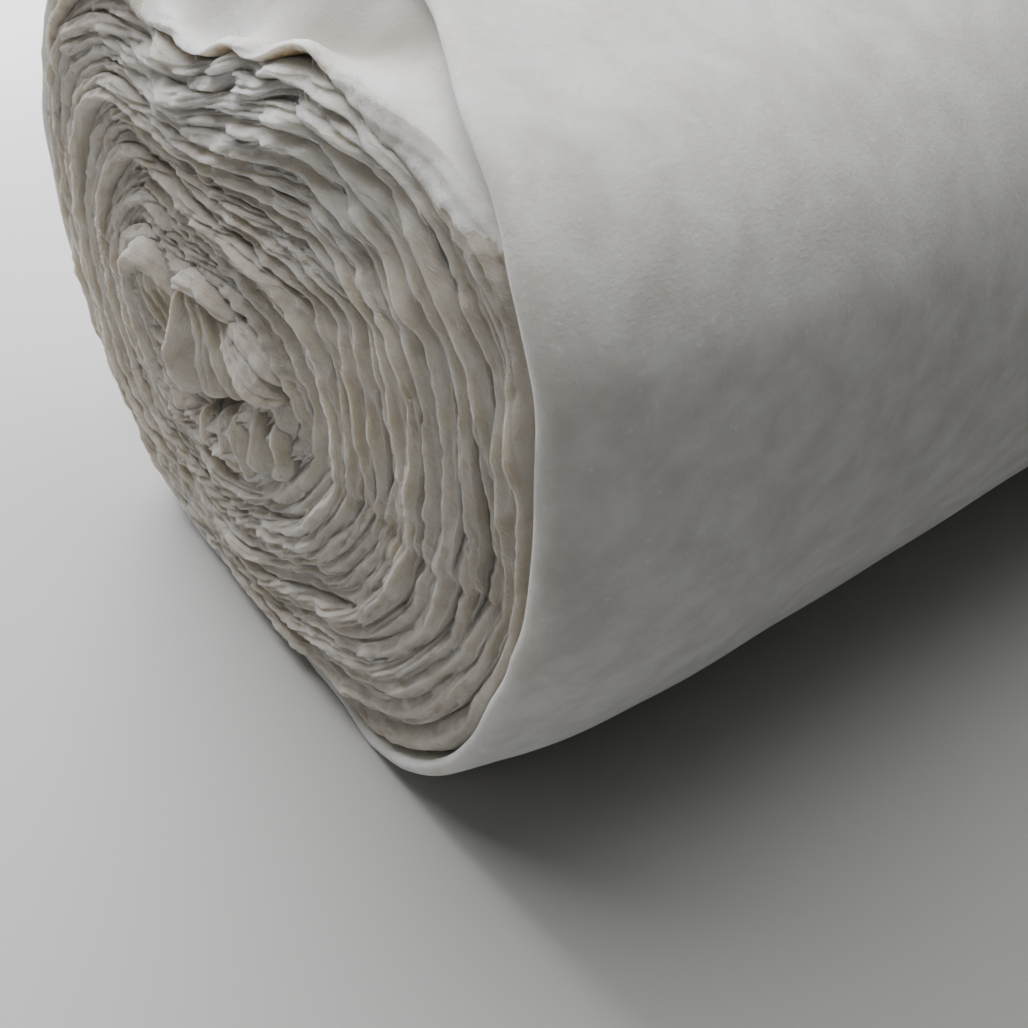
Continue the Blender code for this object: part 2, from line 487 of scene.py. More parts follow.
def plane_noise(seed, grain, across, up):
    """Noise over the plane of the end with soft spots of the given grain in metres."""
    cells = grain / FIELD_CELL
    field = soft_noise(seed, FIELD_CELLS, FIELD_CELLS, cells, cells)
    return read_field(field, up / FIELD_CELL, across / FIELD_CELL)


def edge_noise(seed, grain, length, lane, lane_grain=0.45):
    """Noise along a wound edge: spots of the given grain in metres, and lanes that differ."""
    cell = grain / 3.0
    field = soft_noise(seed, 4096, 64, grain / cell, lane_grain)
    return read_field(field, length / cell, lane)


def roll_surface(place, angle, turned, inset):
    """(Y, Z) of the wound surface: the outline's radius at the angle, blended from slumped to full
    and scaled by the swell at that place, flat on the floor, then moved in by inset.
    """
    size = along(SWELL, 1, place)
    full = along(SWELL, 2, place)
    slumped = around(OUTLINE, 1, angle)
    radius = (slumped + (around(OUTLINE, 2, angle) - slumped) * full) / 1000.0
    radius = radius + LAYER * (0.5 - turned)
    bearing = np.radians(angle)
    across = radius * np.cos(bearing) * size
    up = radius * np.sin(bearing)
    up = up * np.where(up > 0.0, size, np.maximum(size, 1.0))
    up = np.maximum(up, -AXIS_HEIGHT)
    shrink = 1.0 - inset / np.hypot(across, up)
    return across * shrink, up * shrink


def setback(angle):
    """How far the last turn's edge lies back from the open end, in metres."""
    return np.maximum(along(EDGE_SETBACK, 1, (angle + 90.0) % 360.0 - 90.0), 0.0) / 1000.0


def rim_reach(place, directions):
    """Distance from the middle of the winding to the roll's outline in each direction."""
    angle = np.arange(0.0, 360.0, 0.5)
    across, up = roll_surface(np.full(angle.shape, place), angle, 0.5, 0.0)
    bearing = np.degrees(np.arctan2(up - CORE_Z, across - CORE_Y)) % 360.0
    reach = np.hypot(across - CORE_Y, up - CORE_Z)
    order = np.argsort(bearing)
    return np.interp(directions, bearing[order], reach[order], period=360.0)


def squeeze_levels(side):
    """Distances from the middle of the winding to the level turns, every half degree round it.

    Side -1 is the open end, whose levels come from its table. At side 1, the far end, the turns
    lie evenly between the rim and the middle.
    """
    directions = np.arange(0.0, 360.0, 0.5)
    levels = np.zeros((len(directions), len(LEVELS)))
    if side > 0:
        rim = rim_reach(ROLL_LENGTH, directions)
        for column, turns in enumerate(LEVELS):
            levels[:, column] = (rim - LAYER) * (1.0 - (turns - 1.0) / (LEVELS[-1] - 1.0))
        return levels
    rows = np.array(SQUEEZE, dtype=float)
    read = [np.interp(directions, rows[:, 0], rows[:, c], period=360.0) / 1000.0 for c in range(1, 6)]
    levels[:, 0] = rim_reach(0.0, directions) - LAYER - read[4]
    for column in range(4):
        levels[:, 4 - column] = read[column]
    waves = np.fft.rfftfreq(len(directions), 0.5)
    blur = np.exp(-2.0 * (math.pi * waves * SQUEEZE_SOFTNESS) ** 2)
    return np.fft.irfft(np.fft.rfft(levels, axis=0) * blur[:, None], n=len(directions), axis=0)


def turn_reach(levels, direction, turns_in):
    """Distance from the middle to a turn: straight between the levels, then evened out over a turn
    or so either way. Outside the first level a turn is one layer thick.
    """
    row = (direction % 360.0) / 0.5
    left = np.floor(row).astype(int) % len(levels)
    share = (row - np.floor(row))[..., None]
    near = levels[left] * (1.0 - share) + levels[(left + 1) % len(levels)] * share
    spread = np.clip((turns_in - 1.5) * 0.4, 0.0, 1.2)
    total = 0.0
    for offset in (-1.0, 0.0, 1.0):
        turns = turns_in + offset * spread
        reach = near[..., 0] + np.maximum(LEVELS[0] - turns, 0.0) * LAYER
        for k in range(len(LEVELS) - 1):
            step = np.clip((turns - LEVELS[k]) / (LEVELS[k + 1] - LEVELS[k]), 0.0, 1.0)
            reach = reach + (near[..., k + 1] - near[..., k]) * step
        total = total + reach / 3.0
    return total


def from_middle(direction, reach):
    """(Y, Z) of the point that far from the middle of the winding."""
    bearing = np.radians(direction)
    return CORE_Y + reach * np.cos(bearing), CORE_Z + reach * np.sin(bearing)


def face_place(levels, direction, turns_in):
    """(Y, Z) of a turn at an end."""
    return from_middle(direction, turn_reach(levels, direction, turns_in))


def crumple(across, up, seed, strength):
    """Moves points of the end sideways by soft noise of three sizes, so that neighbouring turns
    waver together and never cross.
    """
    moves = ((0.042, 0.0032, 0.1), (0.016, 0.0008, 0.7), (0.0065, 0.0003, 1.2))
    move_across, move_up = 0.0, 0.0
    tufted = relief(TUFTS_AND_HIGHLIGHT, across, up) * 1000.0
    for number, (grain, reach, more) in enumerate(moves):
        reach = reach * strength * (1.0 + more * tufted)
        move_across = move_across + reach * plane_noise(seed + number, grain, across, up)
        move_up = move_up + reach * plane_noise(seed + 10 + number, grain, across, up)
    # The wavering fades out towards the outline, where the last turn holds the others in place.
    bearing = np.degrees(np.arctan2(up - CORE_Z, across - CORE_Y))
    room = rim_reach(0.0, bearing) - np.hypot(across - CORE_Y, up - CORE_Z)
    hold = smooth_step((room - LAYER) / 0.03)
    return across + move_across * hold, np.maximum(up + move_up * hold, -AXIS_HEIGHT + 0.0005)


def relief(table, across, up):
    """Height outwards: the sum of the table's bell-shaped ridges and hollows, each turned."""
    height = 0.0
    for y, z, half_length, half_width, turn, rise in table:
        bearing = math.radians(turn)
        dy, dz = across * 1000.0 - y, up * 1000.0 - z
        lengthwise = (dy * math.cos(bearing) + dz * math.sin(bearing)) / half_length
        widthwise = (dz * math.cos(bearing) - dy * math.sin(bearing)) / half_width
        height = height + rise / 1000.0 * np.exp(-(lengthwise ** 2 + widthwise ** 2) / 2.0)
    return height


def layer_profile(steps, walls):
    """The section of a layer's end band, as (place across the layer from -1 to 1, share of the way
    back along the wall). The share is 0 on the front, which has the given number of steps.
    """
    across = np.sin(np.linspace(-0.5, 0.5, steps) * math.pi)
    walls = np.array(walls, dtype=float)
    sides = np.ones(len(walls))
    return (np.concatenate([-sides, across, sides]),
            np.concatenate([walls[::-1], np.zeros(steps), walls]))


def lamellae(length, lane, share, thickness, seed):
    """Distance behind the front of the thin webs that a layer's edge splits into.

    The place across the layer over the web's thickness, plus a slow wander along the edge, counts
    the webs. The absolute sine of it, times pi, is 0 where two webs meet in a thin ridge and 1 in
    the soft valley between two ridges. Each valley lies a different way back.
    """
    wander = 0.5 * edge_noise(seed + 7, 0.05, length, lane * 3.1)
    count = share[None, :] * thickness[:, None] / 2.0 / WEB + wander[:, None] + 40.0 * lane[:, None]
    valley = np.abs(np.sin(math.pi * count))
    web = np.floor(count)
    stand = soft_noise(seed + 8, 1024, 64, 9.0, 0.4)
    out = read_field(stand, length[:, None] / 0.004 + 0.0 * web, web)
    cut = 1.0 + 0.5 * edge_noise(seed + 9, 0.04, length, lane * 5.7)[:, None]
    return 0.0015 * np.clip(cut, 0.1, 2.0) * valley - 0.0010 * out * valley ** 2


def layer_band(length, lane, outer, inner, front, lean, depth, seed,
               tufted=None, steps=FRONT_STEPS, walls=WALLS):
    """Points of a closed band: a layer's section carried along its edge. Each point has X, Y and Z,
    then its place on the unrolled sheet: metres along the edge, and metres across and round it.

    Across the layer, a from -1 to 1 goes from its outer face to its inner one. The front has its
    crest at a = lean. A wound edge is a thin crest between wide valleys: it falls away by the
    rounding times the sine of the share of the way to the face, as a quarter wave. A fold, which
    has no tufts given, is a cushion: it falls by the rounding times that share squared. Webs and
    fine noise break both up like torn fibre. The walls go back to the depth. outer and inner are
    functions of the distance behind the front that give (Y, Z).
    """
    share, wall = layer_profile(steps, walls)
    thickness = np.hypot(outer(0.0)[0] - inner(0.0)[0], outer(0.0)[1] - inner(0.0)[1])
    rounding = 0.5 * thickness + 0.002 if tufted is None else 0.28 * thickness + 0.0008
    lean = lean[:, None]
    side = np.where(share[None, :] < lean, (lean - share) / (1.0 + lean), (share - lean) / (1.0 - lean))
    side = np.clip(side, 0.0, 1.0)
    shape = side ** 2 if tufted is None else np.sqrt(np.sin(0.5 * math.pi * side) ** 2 + 0.02) - 0.14
    fall = rounding[:, None] * shape
    fall = fall + lamellae(length, lane, share, thickness, seed)
    row = length[:, None] / EDGE_CELL
    column = lane[:, None] * 23.0 + share[None, :] * thickness[:, None] / 2.0 / EDGE_CELL
    tufts = soft_noise(seed + 4, 2048, 256, 1.6, 1.2)
    strands = soft_noise(seed + 5, 2048, 256, 5.0, 1.3)
    rough = 0.0004 * read_field(tufts, row, column) + 0.0005 * read_field(strands, row, column)
    lumps = soft_noise(seed + 3, 1024, 256, 2.2, 1.5)
    lump = read_field(lumps, row / 3.0, column / 3.0)
    tufts_here = np.zeros((1, 1)) if tufted is None else tufted[:, None]
    fall = fall + rough + (0.0007 + 0.0021 * tufts_here) * lump
    wall_depth = rounding[:, None] + (depth - rounding[:, None]) * wall
    behind = np.where(wall > 0, wall_depth, fall)
    out_y, out_z = outer(behind)
    in_y, in_z = inner(behind)
    a = (share[None, :] + 1.0) / 2.0
    points = np.empty(behind.shape + (5,))
    points[..., 0] = behind - front[:, None]
    points[..., 1] = out_y + (in_y - out_y) * a
    points[..., 2] = out_z + (in_z - out_z) * a
    points[..., 3] = length[:, None]
    round_it = np.where(wall > 0, behind, 0.0)
    points[..., 4] = lane[:, None] + share * thickness[:, None] / 2.0 + share * round_it
    return points


def even_turns(levels, first, last, step):
    """Turn numbers between first and last that lie the same distance apart along the winding, and
    their distances along it from the first turn of all, so that bands that meet there match.
    """
    fine = np.linspace(LEVELS[0], LEVELS[-1], 20000)
    across, up = face_place(levels, TAIL_ANGLE + 360.0 * fine, fine)
    length = np.concatenate([[0.0], np.cumsum(np.hypot(np.diff(across), np.diff(up)))])
    start, stop = np.interp([first, last], fine, length)
    wanted = np.linspace(start, stop, int((stop - start) / step))
    return np.interp(wanted, length, fine), wanted


def over_lip(direction):
    """1 in the directions where the drooping turn's lip hangs free, 0 elsewhere."""
    return smooth_step((direction - 88.0) / 12.0) * smooth_step((154.0 - direction) / 10.0)


def droop_relief(table, direction, behind):
    """The sum of a table's bell-shaped spots on the drooping turn's outside, in thousandths."""
    height = 0.0
    for middle, half_turn, depth, half_depth, rise in table:
        round_part = (direction - middle) / half_turn
        depth_part = (behind * 1000.0 - depth) / half_depth
        height = height + rise / 1000.0 * np.exp(-(round_part ** 2 + depth_part ** 2) / 2.0)
    return height


def drooping_outside(turns, direction, near):
    """(Y, Z) of the drooping turn's outside at its front and where it meets the last turn, and how
    far its hanging edge rises at its pleats.

    Where it does not droop it lies against the last turn. Along the top it nearly fills the last
    turn's thickness, where that turn's edge has thinned out.
    """
    turned = direction % 360.0
    thinned = smooth_step((turned - 128.0) / 8.0) * smooth_step((160.0 - turned) / 12.0)
    under = rim_reach(DROOP_MEETS, direction) - LAYER * (turns - 0.44) + 0.006 * thinned
    rows = np.array(SQUEEZE)
    droop = np.interp(turned, rows[:, 0], rows[:, 5], period=360.0)
    held = smooth_step(1.0 - droop / 4.0)
    against = from_middle(direction, rim_reach(0.0, direction) - LAYER * (turns - 0.5) + 0.0022)
    near = [free + (tight - free) * held for free, tight in zip(near, against)]
    pleat = 0.0 * turns
    for middle, half, rise in DROOP_PLEATS:
        pleat = pleat + rise / 1000.0 * np.exp(-((turned - middle) / half) ** 2 / 2.0)
    return near, from_middle(direction, under), pleat


def wound_band(side, first, last, step, depth, seed, strength, steps=FRONT_STEPS, walls=WALLS):
    """Points of the band that a stretch of the winding shows at one end, turn by turn.

    Each side of a layer starts half a turn off its middle, moved in where a gap is, and runs back
    to where it touches its neighbour. Noise, the turn's own rise and the relief move its front.
    """
    levels = squeeze_levels(side)
    turns, length = even_turns(levels, first, last, step)
    direction = TAIL_ANGLE + 360.0 * turns
    bearing = np.radians(direction)
    faces, touch = [], []
    for sign in (-0.5, 0.5):
        thin = np.full(len(turns), -OVERLAP)
        if side < 0:
            thin = thin + relief(FACE_GAPS, *face_place(levels, direction, turns + sign)) * 1000.0
        thin = np.minimum(thin, MOST_THINNED)
        place = face_place(levels, direction, turns + sign - math.copysign(1.0, sign) * thin)
        faces.append(crumple(*place, seed + 20, strength))
        touching = face_place(levels, direction, turns + sign * 1.04)
        touch.append(crumple(*touching, seed + 20, strength))
    outer_near, inner_near = faces
    outer_far, inner_far = touch
    blend_from, blend_to = 0.0, TOUCH_DEPTH
    pleat = 0.0 * turns
    drooping = side < 0 and last <= 2.0
    if drooping:
        outer_near, outer_far, pleat = drooping_outside(turns, direction, outer_near)
        blend_from, blend_to = DROOP_BLEND
    # The first band starts thin, under the sheet's outer end.
    opening = 1.0 - smooth_step((turns - LEVELS[0]) / 0.04)
    outer_near = [near + (inner - near) * 0.55 * opening for near, inner in zip(outer_near, inner_near)]

    def face(near, far, blend_from, blend_to, swollen):
        def at(behind):
            if np.ndim(behind) == 0:
                return near
            blend = smooth_step((behind - blend_from) / (blend_to - blend_from))
            rise = pleat[:, None] * np.exp(-(behind / PLEAT_FADE) ** 2)
            if swollen:
                rise = rise + droop_relief(DROOP_RELIEF, direction[:, None] % 360.0, behind)
            return [start[:, None] + (stop - start)[:, None] * blend + rise * part[:, None]
                    for start, stop, part in zip(near, far, (np.cos(bearing), np.sin(bearing)))]
        return at

    middle = [(outer + inner) / 2.0 for outer, inner in zip(outer_near, inner_near)]
    tufted = relief(TUFTS_AND_HIGHLIGHT, *middle) * 1000.0 if side < 0 else 0.0 * turns
    front = 0.0018 * strength * edge_noise(seed + 1, 0.09, length, turns)
    front = front + (0.0005 + 0.0006 * tufted) * strength * edge_noise(seed + 2, 0.025, length, turns)
    if side < 0:
        front = front + along(TURN_RISE, 1, turns) / 1000.0
        front = front + relief(FACE_RELIEF, *middle)
    front = front - 0.008 * opening
    lean = 0.3 * np.sin(bearing) + 0.15 * edge_noise(seed + 6, 0.06, length, turns)
    if drooping:
        # Its lip is a cushion whose crest lies low.
        tufted, lean = None, lean + 0.4 * over_lip(direction % 360.0)
    outer = face(outer_near, outer_far, blend_from, blend_to, drooping)
    inner = face(inner_near, inner_far, 0.0, TOUCH_DEPTH, False)
    points = layer_band(
        length, turns, outer, inner, front, np.clip(lean, -0.5, 0.7), depth, seed, tufted, steps, walls)
    if side > 0:
        points[..., 0] = ROLL_LENGTH - points[..., 0]
    return points


@functools.lru_cache(maxsize=1)
def open_bands(strength):
    """The drooping turn and then the open end's bands, as (name, points)."""
    drooping = wound_band(-1, 1.0, 2.0, 0.0022, DROOP_DEPTH, 200, strength, walls=DROOPING_WALLS)
    bands = [("drooping_turn", drooping)]
    for name, first, last, step in OPEN_BANDS:
        bands.append((name, wound_band(-1, first, last, step, BAND_DEPTH, 200, strength)))
    return bands


@functools.lru_cache(maxsize=1)
def core_folds():
    """Points of the crumpled middle's folds."""
    table = np.array(CORE_FOLDS, dtype=float)
    return [fold_band(table[table[:, 0] == number][:, 1:], 300 + int(number))
            for number in np.unique(table[:, 0])]


def fibre_roots(random, count):
    """Random places on the fronts of the open end's bands, as many on each as its share of the
    whole length, with the direction along the edge at each.
    """
    tubes = [points for _, points in open_bands(bpy.context.scene.wadding_sizes.crumple)] + core_folds()
    places, runs = [], []
    for points in tubes:
        middle = points[:, points.shape[1] // 2, :3]
        length = np.linalg.norm(np.diff(middle, axis=0), axis=1).sum()
        places.append((points, length))
    whole = sum(length for _, length in places)
    roots = []
    for points, length in places:
        rows, columns, _ = points.shape
        number = int(count * length / whole)
        row = random.integers(1, rows - 1, number)
        side = (columns - FRONT_STEPS) // 2
        column = random.integers(side, columns - side, number)
        run = points[row + 1, column, :3] - points[row - 1, column, :3]
        roots.append(points[row, column, :3])
        runs.append(run / np.linalg.norm(run, axis=1, keepdims=True))
    return np.concatenate(roots), np.concatenate(runs)


def loose_fibres(count):
    """Points and triangles of short fibres that bow out of the edges and back.

    From its root a fibre runs mostly along the edge, bends sideways by a parabola, and stands out of
    the end by another: 4 t (1 - t) times its height. It is a three-sided tube through three
    stations, and a point at each end closes it.
    """
    random = np.random.default_rng(500)
    roots, runs = fibre_roots(random, count)
    number = len(roots)
    outward = np.array([-1.0, 0.0, 0.0])
    across = np.cross(runs, outward)
    along_edge = random.normal(0.0, 1.0, (number, 1)) * runs
    heading = along_edge + random.normal(0.0, 0.45, (number, 1)) * across
    heading /= np.linalg.norm(heading, axis=1, keepdims=True)
    length = random.uniform(0.004, 0.011, (number, 1))
    height = random.gamma(2.0, 0.00045, (number, 1))
    sideways = random.normal(0.0, 0.0012, (number, 1)) * across
    stations = []
    for t in (0.0, 0.25, 0.5, 0.75, 1.0):
        bow = 4.0 * t * (1.0 - t)
        stations.append(roots + (t - 0.5) * length * heading + bow * sideways
                        + (bow * height - 0.0004) * outward)
    radius = random.uniform(0.00006, 0.00011, (number, 1))
    side = np.cross(heading, outward)
    side /= np.linalg.norm(side, axis=1, keepdims=True)
    points = [stations[0]]
    for station in stations[1:4]:
        for turn in (0.0, 120.0, 240.0):
            bearing = math.radians(turn)
            points.append(station + radius * (math.cos(bearing) * outward + math.sin(bearing) * side))
    points.append(stations[4])
    faces = [(0, 2, 1), (0, 3, 2), (0, 1, 3), (10, 7, 8), (10, 8, 9), (10, 9, 7)]
    for ring in (1, 4):
        for k in range(3):
            low, high = ring + k, ring + (k + 1) % 3
            faces += [(low, high + 3, low + 3), (low, high, high + 3)]
    faces = np.array(faces)
    all_points = np.stack(points, axis=1).reshape(-1, 3)
    all_faces = (np.arange(number)[:, None, None] * 11 + faces[None]).reshape(-1, 3)
    return all_points, all_faces


def fold_band(rows, seed):
    """Points of one short fold of the middle: a smooth path through its rows, as thick as they say,
    thinning to nothing at both ends.
    """
    known = np.concatenate([[0.0], np.cumsum(np.hypot(np.diff(rows[:, 0]), np.diff(rows[:, 1])))])
    length = np.linspace(0.0, known[-1], max(int(known[-1] / 1.5), 12))
    read = [cubic(known, rows[:, c], np.gradient(rows[:, c], known), length) for c in range(4)]
    across, up, half, front = [values / 1000.0 for values in read]
    along_y, along_z = np.gradient(across), np.gradient(up)
    step = np.hypot(along_y, along_z)
    ends = np.minimum(length, length[-1] - length)
    half = half * np.sqrt(np.clip(ends / 6.0, 0.02, 1.0))
    normal_y, normal_z = -along_z / step * half, along_y / step * half
    sag = 0.004 * (1.0 - np.clip(ends / 8.0, 0.0, 1.0)) ** 2

    def face(sign):
        def at(behind):
            if np.ndim(behind) == 0:
                return across + sign * normal_y, up + sign * normal_z
            bulge = 1.0 + 0.25 * smooth_step(behind / 0.02)
            return (across[:, None] + sign * normal_y[:, None] * bulge,
                    up[:, None] + sign * normal_z[:, None] * bulge)
        return at

    metres = length / 1000.0
    lean = 0.25 * edge_noise(seed + 6, 0.02, metres, np.full(len(metres), seed * 1.7))
    front = front - sag + 0.0008 * edge_noise(seed + 1, 0.012, metres, np.full(len(metres), seed * 2.3))
    return layer_band(metres, np.full(len(metres), seed * 1.3), face(1.0), face(-1.0), front,
                      np.clip(lean, -0.6, 0.6), FOLD_DEPTH, seed)


def tube_faces(rows, columns):
    """Quads between neighbouring rows of a closed section, and fans of triangles at both ends."""
    row, column = np.meshgrid(np.arange(rows - 1), np.arange(columns), indexing="ij")
    after = (column + 1) % columns
    corners = (row * columns + column, row * columns + after,
               (row + 1) * columns + after, (row + 1) * columns + column)
    quads = np.stack([c.ravel() for c in corners], axis=1)
    ring = np.arange(columns)
    first = np.stack([(ring + 1) % columns, ring, np.full(columns, rows * columns)], axis=1)
    last_ring = ring + (rows - 1) * columns
    last = np.stack([last_ring, (ring + 1) % columns + (rows - 1) * columns,
                     np.full(columns, rows * columns + 1)], axis=1)
    return quads, np.concatenate([first, last])


def closed_piece(name, tubes, material):
    """One object from closed tubes: each is rows of a closed section, with a point at the middle of
    its first and last row. A tube whose signed volume comes out negative is turned right way out.
    Columns past the third are a point's place on the unrolled sheet, which becomes the UV map.
    """
    vertices, quads, fans, start = [], [], [], 0
    for tube in tubes:
        rows, columns, width = tube.shape
        ends = [tube[:1].mean(axis=1), tube[-1:].mean(axis=1)]
        points = np.concatenate([tube.reshape(-1, width), *ends])
        four, three = tube_faces(rows, columns)
        corner = [points[four[:, k], :3] for k in range(4)]
        volume = np.einsum("ij,ij->", corner[0], np.cross(corner[1], corner[2]))
        volume += np.einsum("ij,ij->", corner[0], np.cross(corner[2], corner[3]))
        if volume < 0.0:
            four, three = four[:, ::-1], three[:, ::-1]
        vertices.append(points)
        quads.append(four + start)
        fans.append(three + start)
        start += len(points)
    points, quads, fans = np.concatenate(vertices), np.concatenate(quads), np.concatenate(fans)
    world = points[:, :3] + ORIGIN
    world[:, 2] = np.maximum(world[:, 2], 0.0)
    piece = mesh_object(name, world, quads.tolist() + fans.tolist(), material)
    if points.shape[1] > 3:
        corners = np.concatenate([quads.ravel(), fans.ravel()])
        piece.data.uv_layers.new(name="unrolled").data.foreach_set("uv", points[corners, 3:5].ravel())
    return dressed(piece)


def paint_tuft_highlight(piece, band):
    """Writes on each point how torn the edge is there, which its material paints as a whiter highlight.
    """
    tufts = np.clip(relief(TUFTS_AND_HIGHLIGHT, band[..., 1], band[..., 2]) * 1000.0, 0.0, 1.0)
    values = np.append(tufts.ravel(), [0.0, 0.0])
    piece.data.attributes.new("tufts", "FLOAT", "POINT").data.foreach_set("value", values)


def clad_outside(piece, band):
    """Gives the outer side of the drooping turn the sheet's skin, over its front too at the lip, and
    writes on each point how much painted shade the skin gets there.
    """
    rows, columns, _ = band.shape
    middle = band[:-1, columns // 2]
    direction = np.degrees(np.arctan2(middle[:, 2] - CORE_Z, middle[:, 1] - CORE_Y)) % 360.0
    reach = (columns - FRONT_STEPS) // 2 + SKIN_STEPS * over_lip(direction)
    # Painted shade: how grey the skin is painted over the hollow behind the lip.
    thin = 1000.0 * droop_relief(DROOP_PAINTED_SHADE, np.append(direction, direction[-1])[:, None], band[..., 0])
    painted_shade = np.append(np.clip(thin, 0.0, 1.0).ravel(), [0.0, 0.0])
    piece.data.attributes.new("painted_shade", "FLOAT", "POINT").data.foreach_set("value", painted_shade)
    outside = np.zeros(len(piece.data.polygons), dtype=np.int32)
    outside[:(rows - 1) * columns] = (np.arange(columns)[None, :] < reach[:, None]).ravel()
    piece.data.materials.append(wadding("wadding_skin"))
    piece.data.polygons.foreach_set("material_index", outside)


def mesh_object(name, points, faces, material):
    """A smooth-shaded object on the stage."""
    mesh = bpy.data.meshes.new(name)
    mesh.from_pydata(points.tolist(), [], faces)
    mesh.shade_smooth()
    mesh.materials.append(material)
    piece = bpy.data.objects.new(name, mesh)
    bpy.context.scene.collection.objects.link(piece)
    return piece


def dressed(piece):
    """Ties a piece of wadding to the part: it rides on its one body."""
    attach(piece, "root")
    return piece


def tail_columns(count):
    """Shares of a turn round the roll from the outer end, crowded where that end is rounded."""
    near = 1.0 - np.cos(np.linspace(0.0, 1.0, 8, endpoint=False) * math.pi / 2.0)
    near = near * TAIL_ROUNDING / WAY_ROUND
    return np.concatenate([near, np.linspace(TAIL_ROUNDING / WAY_ROUND, 0.9985, count)])


def outside_relief(place, turned):
    """Height of the outside over the wound form: its table's bell-shaped swells, and soft noise of
    three sizes.
    """
    height = 0.0
    for seed, grain, rise in ((31, 0.095, 0.0020), (32, 0.038, 0.0005), (33, 0.014, 0.00014)):
        cell = 0.004
        field = soft_noise(seed, 512, ROUND_CELLS, grain / cell, grain / cell)
        height = height + rise * read_field(field, place / cell, turned * ROUND_CELLS)
    angle = (TAIL_ANGLE + 360.0 * turned) % 360.0
    for middle, behind, half_turn, half_width, shift, rise in OUTSIDE_SWELLS:
        round_part = (angle - middle) / half_turn
        along_part = (place * 1000.0 - behind - shift * (angle - middle)) / half_width
        height = height + rise / 1000.0 * np.exp(-(round_part ** 2 + along_part ** 2) / 2.0)
    return height


def outer_turn_rings():
    """Rings of the last turn, from the middle of the far backing, over the far rim, along the
    outside, over the open rim and in to the middle of the open backing.

    A rim is half a circle from the outside in, drawn out to its depth and its width. Rings along
    the outside lie closer together near both ends.
    """
    turned = tail_columns(470)
    angle = TAIL_ANGLE + 360.0 * turned
    waver = 0.0
    for seed, grain, reach in ((21, 16.0, 0.0022), (22, 4.0, 0.0009)):
        field = soft_noise(seed, 8, ROUND_CELLS, 1.0, grain)
        waver = waver + reach * read_field(field, 0.0, turned * ROUND_CELLS)
    near = setback(angle) + np.abs(waver)
    far = ROLL_LENGTH - np.abs(waver[::-1])

    def ring(place, inset, lift=0.0):
        # The sheet's outer end is rounded off further near the open end.
        rounding = TAIL_ROUNDING * (1.0 + 3.5 * np.exp(-place / 0.04))
        tail = np.clip(turned * WAY_ROUND / rounding, 0.0, 1.0)
        tail_fall = LAYER * 0.9 * (1.0 - np.sqrt(1.0 - (1.0 - tail) ** 2))
        across, up = roll_surface(place, angle, turned, inset - lift + tail_fall)
        return np.stack([np.broadcast_to(place, angle.shape), across, up], axis=1)

    def backing(place):
        wall = ring(np.full(angle.shape, place), LAYER)
        core = np.array([place, CORE_Y, CORE_Z])
        return [core + (wall - core) * share for share in (0.1, 0.4, 0.7)] + [wall]

    def rim(edge, inwards):
        turns = np.linspace(0.0, math.pi, 9)
        places = [edge + inwards * RIM_BACK * (1.0 - math.sin(turn)) for turn in turns]
        insets = [RIM_IN * (1.0 - math.cos(turn)) / 2.0 for turn in turns]
        return [ring(place, inset) for place, inset in zip(places, insets)]

    rings = backing(FAR_BACKING) + [ring(np.full(angle.shape, ROLL_LENGTH - 0.03), LAYER)]
    rings += rim(far, -1.0)[::-1]
    start, stop = near + RIM_BACK, far - RIM_BACK
    for share in np.linspace(1.0, 0.0, 152)[1:-1]:
        spaced = share - 0.11 * math.sin(2.0 * math.pi * share)
        place = start + (stop - start) * spaced
        fade = smooth_step((place - start) / 0.03) * smooth_step((stop - place) / 0.03)
        rings.append(ring(place, 0.0, outside_relief(place, turned) * fade))
    rings += rim(near, 1.0) + [ring(near + 0.02, LAYER)]
    rings += backing(OPEN_BACKING)[::-1]
    return np.stack(rings)


def linear(code):
    """An sRGB hex colour as linear red, green, blue and alpha."""
    values = [int(code[k:k + 2], 16) / 255.0 for k in (1, 3, 5)]
    curve = [v / 12.92 if v <= 0.04045 else ((v + 0.055) / 1.055) ** 2.4 for v in values]
    return (*curve, 1.0)


def add(tree, kind, settings=None, links=None):
    """Adds a node, sets its properties and sockets, and links sockets of it to others' outputs."""
    node = tree.nodes.new(kind)
    for name, value in (settings or {}).items():
        if isinstance(name, str) and hasattr(node, name):
            setattr(node, name, value)
        else:
            node.inputs[name].default_value = value
    for name, output in (links or {}).items():
        tree.links.new(output, node.inputs[name])
    return node


def fibre_clouds(tree, spot, scale, light, shade):
    """Colour of the web: cloudy where it is thicker or thinner, in soft patches down to 2 mm."""
    clouds = add(tree, "ShaderNodeTexNoise",
                 {"Scale": scale, "Detail": 7.0, "Roughness": 0.62, "Distortion": 0.3}, {"Vector": spot})
    tint = add(tree, "ShaderNodeValToRGB", None, {"Fac": clouds.outputs["Fac"]})
    tint.color_ramp.elements[0].position = 0.36
    tint.color_ramp.elements[0].color = linear(shade)
    tint.color_ramp.elements[1].position = 0.66
    tint.color_ramp.elements[1].color = linear(light)
    return tint.outputs["Color"]


def wadding_shader(tree, colour, height, depth):
    """Matt fibre that light sinks into for some millimetres, with a bloom at glancing angles."""
    bump = add(tree, "ShaderNodeBump", {"Strength": 1.0, "Distance": depth}, {"Height": height})
    shader = add(tree, "ShaderNodeBsdfPrincipled",
                 {"Roughness": 0.95, "IOR": 1.45, "Specular IOR Level": 0.1, "Sheen Weight": 0.2,
                  "Sheen Roughness": 0.6, "Subsurface Weight": 0.8, "Subsurface Scale": 0.008,
                  "Subsurface Radius": (1.0, 0.9, 0.75)},
                 {"Base Color": colour, "Normal": bump.outputs["Normal"]})
    add(tree, "ShaderNodeOutputMaterial", None, {"Surface": shader.outputs["BSDF"]})


def new_material(name):
    """An empty material and its node tree."""
    material = bpy.data.materials.new(name)
    material.use_nodes = True
    material.node_tree.nodes.clear()
    return material, material.node_tree


